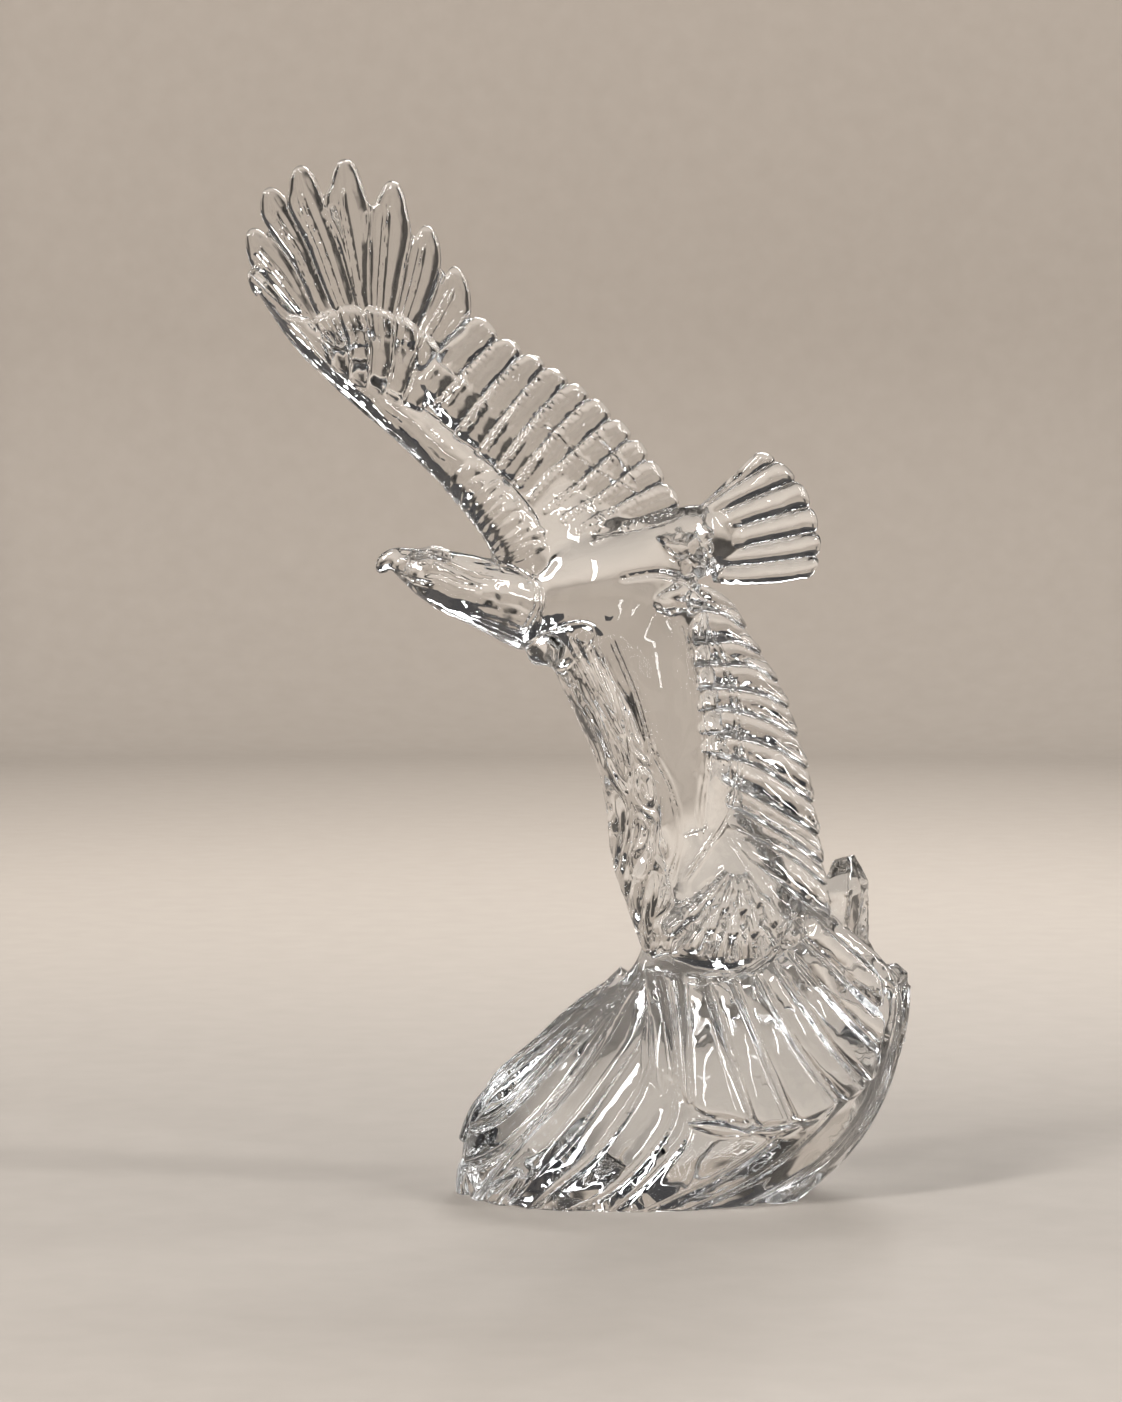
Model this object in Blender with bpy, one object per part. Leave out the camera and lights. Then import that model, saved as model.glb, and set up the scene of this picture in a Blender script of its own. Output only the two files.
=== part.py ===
"""Crystal eagle figurine: one solid of pressed clear glass, 320 mm high.

The eagle banks, seen on its back. One wing is raised and the other sweeps down, where its
primary feathers spread over a fluted rock that is cast with the bird. +X runs from the beak to
the tail, +Y away from the viewer of the bird's back, and +Z is up.
"""

from math import copysign, cos, pi, radians, sin, sqrt

import bmesh
import bpy
from mathutils import Matrix, Vector

HEIGHT = 0.320                # from the underside to the tip of the highest feather
UNIT = HEIGHT / 320           # every place and size below is in this unit: 1 mm at full height

VOXEL = 0.9 * UNIT            # the fusing grid, which rounds the edges as a fire polish does
SMOOTHING = 3                 # passes that even out the fused surface
TRIANGLES_KEPT = 0.030        # the share of the fused surface's triangles that the part keeps

VIEWER = Vector((0, -1, 0))   # the direction that the bird's back faces

# Loft resolution: corners around a plume and around a mass, and a plume's stations.
PLUME_CORNERS = 12
MASS_CORNERS = 28
PLUME_STATIONS = (0, 0.1, 0.22, 0.35, 0.5, 0.62, 0.73, 0.82, 0.89, 0.94, 0.975)

# ---- The rock: level slices of (height, left end, right end, depth in front, depth behind)
ROCK_SLICES = [(-3, -30, 53, 33, 33), (0, -33, 58, 35, 35), (6, -36, 70, 36.5, 36),
               (14, -36, 81, 36.5, 36), (25, -33, 89, 33, 35), (38, -24, 95, 28, 31),
               (50, -9, 99, 22, 27), (60, 5, 101, 16, 23), (70, 16, 97, 12, 19),
               (80, 20, 86, 10, 15), (90, 22, 72, 8, 10)]
ROCK_SQUARENESS = 2.3
# Flutes over the rock as (x, z) down their middles, and their widths at the neck and the foot.
FRONT_FLUTES = [
    ([(15, 64), (7, 55), (-4, 43), (-14, 31), (-25, 21), (-34, 14)], 7, 13),
    ([(18.5, 68), (13, 59), (5, 46), (-6, 32), (-16, 21), (-28, 9), (-35, 4)], 5, 8),
    ([(-12, 14), (-20, 8), (-28, 1)], 5, 9),
    ([(20, 54), (16, 41), (8, 30), (-2, 18.5), (-12, 8.5), (-19, 1)], 5, 12),
    ([(26, 36), (20, 27), (13, 18), (4, 9.5), (-5, 4), (-12, 0)], 8, 11),
    ([(31, 30), (26, 21), (18.5, 12), (12, 5), (4, 0)], 5, 6),
    ([(50, 27), (38, 18), (26, 9), (15, 1)], 17, 10),
    ([(76, 30), (62, 20), (48, 11.5), (32, 5), (20, 0)], 9, 7),
    ([(90, 42), (83, 27), (73, 17.5), (62, 10.5), (48, 4.5), (36, 0)], 9, 9),
]
BACK_FLUTES = [
    ([(12, 63), (1, 54), (-10, 44), (-22, 34), (-32, 24)], 6, 13),
    ([(18, 64), (12, 50), (0, 36), (-14, 22), (-27, 8), (-31, 2)], 8, 14),
    ([(26, 66), (24, 48), (14, 32), (0, 16), (-14, 2)], 9, 15),
    ([(38, 66), (38, 48), (30, 30), (18, 14), (4, 0)], 10, 16),
    ([(52, 68), (54, 48), (48, 30), (36, 12), (26, 0)], 10, 16),
    ([(68, 68), (72, 50), (68, 32), (56, 14), (44, 0)], 10, 15),
    ([(84, 62), (88, 48), (84, 32), (74, 18), (62, 6)], 10, 13),
]
# Flutes around the rock's left end, and the rim along its right edge, as (x, y, z).
LEFT_FLUTES = [
    [(15, 1, 68), (6, 2, 57), (-7, 2, 47), (-21, 1, 36), (-31, 0, 25), (-35, 0, 15)],
    [(14, 8, 67), (4, 12, 57), (-8, 14, 46), (-21, 14, 35), (-30, 13, 24), (-34, 12, 12), (-33, 12, 1)],
    [(8, 0, 50), (-10, -2, 34), (-25, -3, 20), (-35, -3, 8), (-36, -2, 1)]]
RIM = [(100.5, 10, 63), (98.5, 6, 52), (95, 4, 39), (89.5, 0, 27), (81, -6, 16), (71, -13, 8), (59, -20, 1)]
# Shards behind the wing: foot, top, half width and half depth.
SHARDS = [((85, 8, 48), (84, 9, 103.5), 8, 8), ((89, 16, 44), (89, 16, 77), 4.5, 6),
          ((94, 5, 44), (96, 7, 70), 7.5, 9), ((66, 20, 40), (66, 18, 86), 7, 7),
          ((45, 24, 34), (48, 21, 74), 7.5, 7)]

# ---- The raised wing, from the first primary to the body
RAISED_ARM = [(-16, 0, 197), (-20.5, 0, 207), (-28, 0, 217), (-38, 1, 228), (-52, 3, 240),
              (-68, 5, 252), (-84, 7, 265), (-95, 8.5, 277), (-101, 9.5, 284)]
RAISED_ARM_SIZES = [(11, 10), (9.5, 9), (8.5, 8), (8, 7), (7, 6), (6, 5), (4.5, 4), (3, 3), (2, 2)]
# The web that joins the primaries below their free ends.
RAISED_WEB = [(-62, 4, 254), (-66, 4, 270), (-70, 3.5, 286), (-73, 3, 300), (-74, 2.5, 306)]
RAISED_WEB_SIZES = [(8, 2.6), (18, 2.2), (25, 1.9), (21, 1.6), (9, 1.5)]
RAISED_PRIMARIES = [                           # (quill, tip, width)
    ((-82, 6, 265), (-102.5, 9, 286), 7), ((-80, 6, 266), (-103, 6, 299.5), 8.5),
    ((-76, 5, 267), (-97, 3, 312), 10), ((-70, 4, 268), (-87, 1, 318.5), 11.5),
    ((-63, 4, 268), (-72.5, 0, 320.5), 12.5), ((-57, 4, 266), (-57.5, 2, 314), 12.5),
    ((-51, 4, 263), (-47, 4, 300.5), 11), ((-45.5, 4, 260), (-38.5, 6, 288), 10.5)]
PRIMARY_POINT = 26                             # the length over which a primary narrows to its tip
RAISED_COVERTS = 9                             # short feathers from the wrist over the quills
RAISED_COVERT_QUILLS = [(-74, 4, 256), (-62, 3, 248), (-52, 3, 243)]
RAISED_COVERT_TIPS = [(-85, 3, 271), (-68, 1, 277), (-46, 1, 269), (-38, 2, 262)]
RAISED_SECONDARIES = 10
RAISED_SECONDARY_QUILLS = [(-53, 3, 243), (-43, 2, 233), (-30, 1, 221), (-16, 0, 209), (0, 0, 199)]
RAISED_SECONDARY_TIPS = [(-30, 8, 271), (-14.5, 8, 259), (-0.5, 8, 250), (12, 8, 238.5), (21, 7, 226.5),
                         (27.5, 6, 216)]

# ---- The lowered wing
LOWERED_ARM = [(-3, 0, 172), (4, 0, 159), (10, 0, 146), (14.5, 0, 133), (17, 0, 119), (19, 0, 104),
               (23.5, 0, 89), (28, 0, 76)]
LOWERED_ARM_SIZES = [(9, 10), (9.5, 11), (9.5, 11), (9, 11), (9, 10.5), (9, 10), (8.5, 9.5), (8.5, 9)]
LOWERED_BLADE = [(20, 0, 190), (23, 0, 170), (27, 0, 150), (30, 0, 130), (34, 0, 112), (41, 0, 94),
                 (45, 0, 76)]
LOWERED_BLADE_SIZES = [(17, 13), (17, 12.5), (17, 11), (19, 10), (22, 9.5), (26, 10), (24, 10)]
LOWERED_SECONDARIES = 10
LOWERED_QUILLS = [(28, -4, 190), (33, -4, 170), (38, -4, 153), (45, -4, 135), (46, -5, 117), (44, -6, 100)]
LOWERED_BENDS = [(38, -3, 189), (46, -3, 168), (54, -3, 150), (63, -3, 128), (66, -4, 110), (67, -5, 91)]
LOWERED_TIPS = [(46.5, 1, 184.5), (58, 1, 160.5), (66, 1, 140.5), (70.5, 1, 119), (73, 0, 101), (79, 0, 81)]
LOWERED_PRIMARIES = [                          # (quill, tip as x and z, widths at both)
    ((24.5, -8, 70), (25.5, 34), 5, 8.5), ((29.5, -9, 69), (32.5, 30.5), 5, 6),
    ((36, -9, 69), (43.5, 26), 7, 18), ((44.5, -10, 70), (60, 24), 7, 12),
    ((51.5, -10, 72), (73.5, 28), 8, 16), ((56.5, -10, 75), (85.5, 37), 7, 11),
    ((61.5, -9, 79), (91, 47.5), 7, 10), ((64, -9, 83), (92.5, 57), 7, 9),
    ((66, -8, 87), (90, 67), 7, 9)]

# ---- The tail fan, from the upper side to the lower
TAIL_QUILLS = [(36, 3, 210), (39, 2, 202), (40, 3, 194)]
TAIL_TIPS = [(55, 6, 228), (63.5, 5, 224.5), (70.5, 5, 215), (73, 5, 203), (71.5, 6, 194)]
TAIL_FEATHERS = 6


# ---- Curves and lofts -------------------------------------------------------------------------

def along(points, t):
    """The point at t, from 0 to 1, on the smooth curve through the points."""
    spans = len(points) - 1
    place = min(max(t, 0.0), 1.0) * spans
    first = min(int(place), spans - 1)
    f = place - first
    a, b, c, d = (Vector(points[min(max(k, 0), spans)]) for k in range(first - 1, first + 3))
    return 0.5 * (2 * b + (c - a) * f + (2 * a - 5 * b + 4 * c - d) * f ** 2
                  + (3 * b - a - 3 * c + d) * f ** 3)


def heading(points, t):
    return (along(points, t + 0.03) - along(points, t - 0.03)).normalized()


def ring(centre, wide, deep, corners, power):
    """A superellipse spanned by two half axes: power 2 is an ellipse, and more is squarer."""
    points = []
    for k in range(corners):
        c, s = cos(2 * pi * k / corners), sin(2 * pi * k / corners)
        points.append(centre + wide * copysign(abs(c) ** (2 / power), c)
                      + deep * copysign(abs(s) ** (2 / power), s))
    return points


def loft(form, rings):
    """Adds one closed shell: the rings joined in order, and both ends capped."""
    rows = [[form.verts.new(point * UNIT) for point in points] for points in rings]
    form.faces.new(reversed(rows[0]))
    form.faces.new(rows[-1])
    for lower, upper in zip(rows, rows[1:]):
        for k in range(len(lower)):
            n = (k + 1) % len(lower)
            form.faces.new((lower[k], lower[n], upper[n], upper[k]))


def mass(form, spine, sizes, face=VIEWER, power=2.2, steps=16):
    """A rounded mass along a spine. sizes gives (half width, half depth) along it."""
    rings = []
    for k in range(steps + 1):
        t = k / steps
        ahead = heading(spine, t)
        side = ahead.cross(face).normalized()
        half = along(sizes, t)
        rings.append(ring(along(spine, t), side * half.x, side.cross(ahead) * half.y,
                          MASS_CORNERS, power))
    loft(form, rings)


def plume(form, spine, quill_width, width, thickness, end, face=VIEWER, turn=0):
    """A feather or a flute: a flat pillow along its spine. It widens from the quill to its full
    width, and is rounded over the length of its end. turn tips its flat side about the spine, in
    degrees, so that it overlaps the next."""
    length = sum((Vector(b) - Vector(a)).length for a, b in zip(spine, spine[1:]))
    rings = []
    for t in PLUME_STATIONS:
        ahead = heading(spine, t)
        side = Matrix.Rotation(radians(turn), 3, ahead) @ ahead.cross(face).normalized()
        left = min(length * (1 - t) / end, 1.0)
        rounding = sqrt(1 - (1 - left) ** 2)
        spread = min(t / 0.6, 1.0)
        half_width = (quill_width + (width - quill_width) * spread) / 2 * rounding
        half_depth = thickness / 2 * (0.6 + 0.4 * rounding)
        rings.append(ring(along(spine, t), side * half_width, side.cross(ahead) * half_depth,
                          PLUME_CORNERS, 2.6))
    loft(form, rings)


# ---- The rock ---------------------------------------------------------------------------------

def rock_slice(z):
    """(centre x, half length, depth in front, depth behind) of the rock at that height."""
    above = [k for k, row in enumerate(ROCK_SLICES) if row[0] > z]
    upper = max(above[0] if above else len(ROCK_SLICES) - 1, 1)
    low, high = ROCK_SLICES[upper - 1], ROCK_SLICES[upper]
    f = min(max((z - low[0]) / (high[0] - low[0]), 0.0), 1.0)
    left, right, front, back = (a + (b - a) * f for a, b in zip(low[1:], high[1:]))
    return (left + right) / 2, (right - left) / 2, front, back


def on_rock(x, z, side=-1):
    """The place on the rock's front (side -1) or back (side 1) with that x and z."""
    centre, half, front, back = rock_slice(z)
    across = min(abs(x - centre) / half, 0.98)
    bulge = (1 - across ** ROCK_SQUARENESS) ** (1 / ROCK_SQUARENESS)
    return Vector((x, -front * bulge if side < 0 else back * bulge, z))


def off_rock(x, z, side=-1):
    """The direction straight out of the rock there."""
    along_x = on_rock(x + 1, z, side) - on_rock(x - 1, z, side)
    along_z = on_rock(x, z + 1, side) - on_rock(x, z - 1, side)
    return along_x.cross(along_z).normalized() * -side


def rock(form):
    rings = []
    for z, *_ in ROCK_SLICES:
        centre, half, front, back = rock_slice(z)
        middle = Vector((centre, (back - front) / 2, z))
        rings.append(ring(middle, Vector((half, 0, 0)), Vector((0, (front + back) / 2, 0)),
                          2 * MASS_CORNERS, ROCK_SQUARENESS))
    loft(form, rings)


def flutes(form):
    """Long curved flutes that sweep from the wing down to the rock's foot."""
    for side, runs in ((-1, FRONT_FLUTES), (1, BACK_FLUTES)):
        for places, neck_width, foot_width in runs:
            spine = [on_rock(x, z, side) for x, z in places]
            x, z = places[len(places) // 2]
            plume(form, spine, neck_width, foot_width, 7, 3, face=off_rock(x, z, side))
    for spine in LEFT_FLUTES:
        plume(form, spine, 7, 12, 7, 3, face=Vector((-1, 0, 0.4)))
    plume(form, RIM, 6, 8, 9, 4, face=Vector((0.5, -0.7, -0.2)))


def shards(form):
    """Pointed, five-sided crystals, each with a slanting top."""
    corners = ((1, 0.5), (0.3, 1), (-1, 0.4), (-0.7, -0.8), (0.4, -1))
    for foot, top, half_width, half_depth in SHARDS:
        foot, top = Vector(foot), Vector(top)
        rings = []
        for centre, share in ((foot, 1.1), (foot.lerp(top, 0.86), 1.0), (top, 0.35)):
            wide = Vector((half_width * share, 0, 0.25 * half_width * share))
            deep = Vector((0, half_depth * share, 0))
            rings.append([centre + wide * x + deep * y for x, y in corners])
        loft(form, rings)


# ---- The bird ---------------------------------------------------------------------------------

def body(form):
    mass(form, [(-15, 0, 184), (-5, 0, 185), (7, 0, 189), (19, 1, 195), (31, 1, 201.5), (41, 2, 203)],
         [(12, 11), (15, 14), (16, 16.5), (14, 15), (10.5, 11), (9, 7)])
    # The rounded shoulder of the lowered wing.
    mass(form, [(-16, -3, 168.5), (-7, -5, 170.5), (1, -6, 175)], [(4, 5), (6.5, 6.5), (4, 5)])


def head(form):
    mass(form, [(-13, 0, 181), (-22, 0, 184), (-30, 0, 186.5), (-41, 0, 190.3), (-48, 0, 192.8),
                (-54, 0, 195), (-57.5, 0, 196)],
         [(12, 11), (12, 10.5), (10.6, 9.5), (9.4, 8.8), (7.6, 7.6), (4.6, 4.8), (2.8, 3.2)])
    mass(form, [(-50, 0, 195.5), (-56, 0, 197), (-60, 0, 196.4), (-62, 0, 194), (-61.8, 0, 191.8)],
         [(4.6, 4.4), (3.4, 3.3), (2.7, 2.4), (1.8, 1.7), (0.8, 0.8)])
    for side in (-1, 1):
        brow = [(-40, side * 7.4, 198), (-46, side * 7, 199), (-52, side * 4.6, 198)]
        mass(form, brow, [(1.2, 1.4), (1.8, 2.2), (1, 1.2)], face=Vector((0, -side, 0)))
        bmesh.ops.create_icosphere(form, subdivisions=2, radius=2 * UNIT,
                                   matrix=Matrix.Translation(Vector((-47.6, side * 6.9, 195.3)) * UNIT))


def tail(form):
    for k in range(TAIL_FEATHERS):
        t = k / (TAIL_FEATHERS - 1)
        quill, tip = along(TAIL_QUILLS, t), along(TAIL_TIPS, t)
        plume(form, [quill, quill.lerp(tip, 0.5), tip], 5, 9.5, 5.5, 3, turn=-10)


def legs(form):
    """The feet, drawn up against the belly on the far side."""
    for lift in (0, 1):
        hip = Vector((12 + 3 * lift, 9, 178 + 15 * lift))
        foot = Vector((31 + 5 * lift, 12, 182 + 22 * lift))
        mass(form, [hip, hip.lerp(foot, 0.6) + Vector((0, 3, 0)), foot], [(6, 6), (4.6, 4.6), (2.6, 2.6)])


def raised_wing(form):
    mass(form, RAISED_ARM, RAISED_ARM_SIZES)
    # The covert sheet, which the quills come out of.
    mass(form, [(8, 0, 188), (-3, 1, 203), (-16, 1, 218), (-32, 2, 233), (-50, 4, 248), (-66, 5, 261)],
         [(19, 10), (17, 8), (14, 5.5), (12, 4.5), (11, 4), (8, 3)], power=2.6)
    mass(form, RAISED_WEB, RAISED_WEB_SIZES)
    for quill, tip, width in RAISED_PRIMARIES:
        quill, tip = Vector(quill), Vector(tip)
        plume(form, [quill, quill.lerp(tip, 0.5), tip], 0.6 * width, width, 5.5, PRIMARY_POINT)
    for k in range(RAISED_COVERTS):
        t = k / (RAISED_COVERTS - 1)
        quill, tip = along(RAISED_COVERT_QUILLS, t), along(RAISED_COVERT_TIPS, t)
        plume(form, [quill, quill.lerp(tip, 0.5), tip], 3.5, 6.5, 4.5, 3.5, turn=-8)
    for k in range(RAISED_SECONDARIES):
        t = k / (RAISED_SECONDARIES - 1)
        quill, tip = along(RAISED_SECONDARY_QUILLS, t), along(RAISED_SECONDARY_TIPS, t)
        plume(form, [quill, quill.lerp(tip, 0.5), tip], 6, 9.5, 5.5, 4.5, turn=-12)


def lowered_wing(form):
    mass(form, LOWERED_ARM, LOWERED_ARM_SIZES)
    mass(form, LOWERED_BLADE, LOWERED_BLADE_SIZES, power=2.6)
    # The rounded end of the hand, above the primaries.
    mass(form, [(38, 0, 112), (43, -1, 98), (46, -1, 84), (47, -1, 72)],
         [(20, 9), (24, 10.5), (26, 12), (17, 12)], power=2.6)
    for k in range(LOWERED_SECONDARIES):
        t = k / (LOWERED_SECONDARIES - 1)
        spine = [along(line, t) for line in (LOWERED_QUILLS, LOWERED_BENDS, LOWERED_TIPS)]
        plume(form, spine, 8, 11, 5.5, 5, turn=12)
    for quill, (tip_x, tip_z), quill_width, width in LOWERED_PRIMARIES:
        quill, tip = Vector(quill), on_rock(tip_x, tip_z) + VIEWER
        middle = quill.lerp(tip, 0.5)
        middle = on_rock(middle.x, middle.z) + VIEWER
        plume(form, [quill, middle, tip], quill_width, width, 6, 5, face=off_rock(middle.x, middle.z))


# ---- Putting it together ----------------------------------------------------------------------

def clear_scene():
    for old in list(bpy.data.objects):
        bpy.data.objects.remove(old)


def crystal():
    material = bpy.data.materials.new("clear_crystal")
    material.use_nodes = True
    shader = material.node_tree.nodes["Principled BSDF"]
    shader.inputs["Base Color"].default_value = (0.97, 0.98, 0.98, 1)
    shader.inputs["Roughness"].default_value = 0.02
    shader.inputs["Metallic"].default_value = 0
    shader.inputs["IOR"].default_value = 1.55
    shader.inputs["Transmission Weight"].default_value = 1
    return material


def new_object(name, form):
    mesh = bpy.data.meshes.new(name)
    form.to_mesh(mesh)
    form.free()
    made = bpy.data.objects.new(name, mesh)
    bpy.context.scene.collection.objects.link(made)
    return made


def underside_cutter():
    """A block whose top is the level of the surface that the figurine stands on."""
    form = bmesh.new()
    size = 400 * UNIT
    bmesh.ops.create_cube(form, size=size, matrix=Matrix.Translation((0, 0, -size / 2)))
    block = new_object("underside_cutter", form)
    block.hide_render = True
    block.display_type = "WIRE"
    return block


def fuse(eagle):
    """Joins the shells into one solid, thins its triangles and cuts its underside flat."""
    remesh = eagle.modifiers.new("fuse", "REMESH")
    remesh.mode = "VOXEL"
    remesh.voxel_size = VOXEL
    polish = eagle.modifiers.new("polish", "SMOOTH")
    polish.iterations = SMOOTHING
    thin = eagle.modifiers.new("thin", "DECIMATE")
    thin.ratio = TRIANGLES_KEPT
    cut = eagle.modifiers.new("underside", "BOOLEAN")
    cut.operation = "DIFFERENCE"
    cut.object = underside_cutter()


def main():
    clear_scene()
    form = bmesh.new()
    for make in (rock, flutes, shards, body, head, tail, legs, raised_wing, lowered_wing):
        make(form)
    eagle = new_object("crystal_eagle", form)
    eagle.data.materials.append(crystal())
    fuse(eagle)


main()
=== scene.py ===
"""The looks of the crystal eagle figurine: the cast relief, the clear crystal, a studio and a camera."""

from math import cos, pi, radians, sin

import bmesh
import bpy
import numpy as np
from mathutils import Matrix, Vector


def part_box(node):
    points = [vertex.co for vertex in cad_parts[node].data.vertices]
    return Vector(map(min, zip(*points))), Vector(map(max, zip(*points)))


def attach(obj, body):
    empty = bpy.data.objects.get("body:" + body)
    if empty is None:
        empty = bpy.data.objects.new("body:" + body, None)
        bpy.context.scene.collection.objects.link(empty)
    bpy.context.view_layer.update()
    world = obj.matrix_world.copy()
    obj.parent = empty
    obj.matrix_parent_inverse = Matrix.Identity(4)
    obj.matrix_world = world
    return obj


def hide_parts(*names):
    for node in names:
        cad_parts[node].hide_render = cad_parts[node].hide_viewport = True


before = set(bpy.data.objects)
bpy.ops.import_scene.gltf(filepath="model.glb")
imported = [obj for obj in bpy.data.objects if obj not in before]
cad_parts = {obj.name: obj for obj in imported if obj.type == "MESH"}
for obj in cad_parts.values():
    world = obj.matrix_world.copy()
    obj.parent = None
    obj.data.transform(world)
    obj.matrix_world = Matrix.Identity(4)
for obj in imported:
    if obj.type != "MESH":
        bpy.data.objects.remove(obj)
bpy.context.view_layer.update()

NODE = "crystal_eagle"
LOW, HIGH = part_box(NODE)
# Every place and size of the cast is in this unit: 1 mm on a figurine 320 mm high. The materials and
# the studio are in metres. The origin is under the middle of the figurine, +X runs from the beak to
# the tail, and the bird's back faces -Y.
UNIT = (HIGH.z - LOW.z) / 320

VOXEL = 0.4                   # the grid that fuses the shells, fine enough for the smallest relief
TRIANGLES = 196000            # the cast's triangles after thinning
STRIPS = 24                   # the strips across one face of a feather or a flute
WIDENING = 0.6                # the share of its length over which a plume widens
MARGIN = 0.02                 # what the cast keeps clear of the CAD's box
VIEWER = np.array((0.0, -1.0, 0.0))


# ---- Curves and shells ----

def unit(vectors):
    return vectors / np.maximum(np.linalg.norm(vectors, axis=-1, keepdims=True), 1e-9)


def smoothstep(low, high, value):
    t = np.clip((value - low) / (high - low), 0, 1)
    return t * t * (3 - 2 * t)


def along(points, t):
    """The places at t, from 0 to 1, on the smooth curve through the points."""
    points = np.asarray(points, float)
    place = np.clip(np.asarray(t, float), 0, 1) * (len(points) - 1)
    first = np.minimum(place.astype(int), len(points) - 2)
    f = (place - first)[..., None]
    a, b, c, d = (points[np.clip(first + k, 0, len(points) - 1)] for k in (-1, 0, 1, 2))
    return 0.5 * (2 * b + (c - a) * f + (2 * a - 5 * b + 4 * c - d) * f ** 2
                  + (3 * b - a - 3 * c + d) * f ** 3)


def frames(spine, t, face):
    """Along a spine: its places, and the directions to the side, and out towards face."""
    ahead = unit(along(spine, t + 0.03) - along(spine, t - 0.03))
    side = unit(np.cross(ahead, face))
    return along(spine, t), side, np.cross(side, ahead)


def distances(path):
    """The distance from each place on a path to the next."""
    return np.linalg.norm(np.diff(path, axis=0), axis=1)


def extend(edge, amount):
    """The edge with its last place moved on by amount."""
    edge = np.array(edge, float)
    edge[-1] += unit(edge[-1] - edge[-2]) * amount
    return edge


def deepen(edge, *depths):
    """An (x, z) edge with depths spread evenly along it, as (x, depth, z)."""
    edge = np.asarray(edge, float)
    depth = np.interp(np.linspace(0, 1, len(edge)), np.linspace(0, 1, len(depths)), depths)
    return np.stack((edge[:, 0], depth, edge[:, 1]), axis=-1)


def superellipse(corners, power):
    """The corners' angles, and their places on a superellipse whose half size is 1."""
    angle = np.linspace(0, 2 * pi, corners, endpoint=False)
    x, y = (np.sign(w) * np.abs(w) ** (2 / power) for w in (np.cos(angle), np.sin(angle)))
    return angle, x, y


shells = []                   # (rings, corners, 3) arrays, one for each closed shell


def shell(centre, wide, front, back, power, crown=None):
    """A closed shell from rings: wide is the half width vector of each ring, and front and back
    are its two half depth vectors. crown(across, t) changes the front's height."""
    across = np.cos(np.linspace(0, pi, STRIPS + 1))
    height = (1 - np.abs(across) ** power) ** (1 / power)
    t = np.linspace(0, 1, len(centre))[:, None]
    top = height * (crown(across[None, :], t) if crown else 1.0) + 0 * t
    middle = centre[:, None] + wide[:, None] * across[:, None]
    outer = middle + front[:, None] * top[..., None]
    inner = middle[:, ::-1] + back[:, None] * height[::-1, None]
    shells.append(np.concatenate((outer, inner[:, 1:-1]), axis=1))


def mass(spine, sizes, face=VIEWER, power=2.2, steps=60, corners=72, ripple=None):
    """A rounded mass along a spine. sizes gives (half width, half depth), and ripple(t, angle)
    the relief's height over its surface."""
    t = np.linspace(0, 1, steps + 1)
    centre, side, out = frames(spine, t, face)
    half = along(sizes, t)
    angle, x, y = superellipse(corners, power)
    x, y = half[:, :1] * x[None], half[:, 1:] * y[None]
    if ripple is not None:
        lift = ripple(t[:, None], angle[None, :])
        reach = np.sqrt(x * x + y * y) + 1e-6
        x, y = x * (1 + lift / reach), y * (1 + lift / reach)
    shells.append(centre[:, None] + side[:, None] * x[..., None] + out[:, None] * y[..., None])


def outline(length, end):
    """Places along a feather, closer together towards its rounded end, and its width there."""
    pitch = 1.2
    share = min(end / length, 0.5)
    straight = np.linspace(0, 1 - share, max(int(length * (1 - share) / pitch), 3), endpoint=False)
    angle = np.linspace(0, 0.94 * pi / 2, 9)
    t = np.concatenate((straight, 1 - share + share * np.sin(angle)))
    left = np.minimum(length * (1 - t) / end, 1.0)
    return t, np.sqrt(np.maximum(1 - (1 - left) ** 2, 0.0))


def plume(spine, quill_width, width, thickness, end, power, face=VIEWER):
    """A feather: a flat pillow along its spine, widening from the quill and rounded at its end."""
    t, closing = outline(distances(np.asarray(spine, float)).sum(), end)
    centre, side, out = frames(spine, t, face)
    half_width = (quill_width + (width - quill_width) * np.minimum(t / WIDENING, 1)) / 2 * closing
    deep = out * (thickness / 2 * (0.6 + 0.4 * closing))[:, None]
    shell(centre, side * half_width[:, None], deep, -deep, power)


def gable(across, t):
    """A face with a ridge along it, right of its middle, which fades into a blunt end."""
    peak = 1 - np.abs(across - 0.3) / 1.3
    return 0.5 + 0.6 * peak + (0.25 - 0.3 * peak) * smoothstep(0.45, 0.9, t)


def vane(across, t):
    """A flat face that rises a little to the right, with a furrow left of its middle."""
    return 0.94 + 0.12 * across - 0.1 * np.exp(-((across + 0.15) / 0.1) ** 2)


def panel(left, right, rise, depth, end, power, out=None, tilt=0.0, crown=None, swell=0.0):
    """A feather or a flute between two edges. It rises above them, and goes down to depth below.
    It faces the viewer, or out(t). tilt lifts its left edge over its neighbour, and swell widens it."""
    t = np.linspace(0, 1, 40)
    length = distances((along(left, t) + along(right, t)) / 2).sum()
    t, closing = outline(length, end)
    one, other = along(left, t), along(right, t)
    normal = unit(out(t)) if out else np.broadcast_to(VIEWER, one.shape)
    centre = (one + other) / 2
    wide = (other - one) / 2 * closing[:, None] * (1 + swell) - normal * tilt
    blunt = np.minimum(length * (1 - t) / 2.6, 1)[:, None]
    full = (0.15 + 0.85 * blunt) * (0.2 + 0.8 * smoothstep(0, 0.16, t))[:, None]
    shell(centre, wide, normal * rise * full, -normal * depth * full, power, crown)


def flat_panel(one, other, longer, depths, *sizes, **shape):
    """A panel between two (x, z) edges drawn out at their ends, with depths spread along them."""
    panel(*(deepen(extend(edge, longer), *depths) for edge in (one, other)), *sizes, **shape)


# ---- The rock ----

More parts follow.
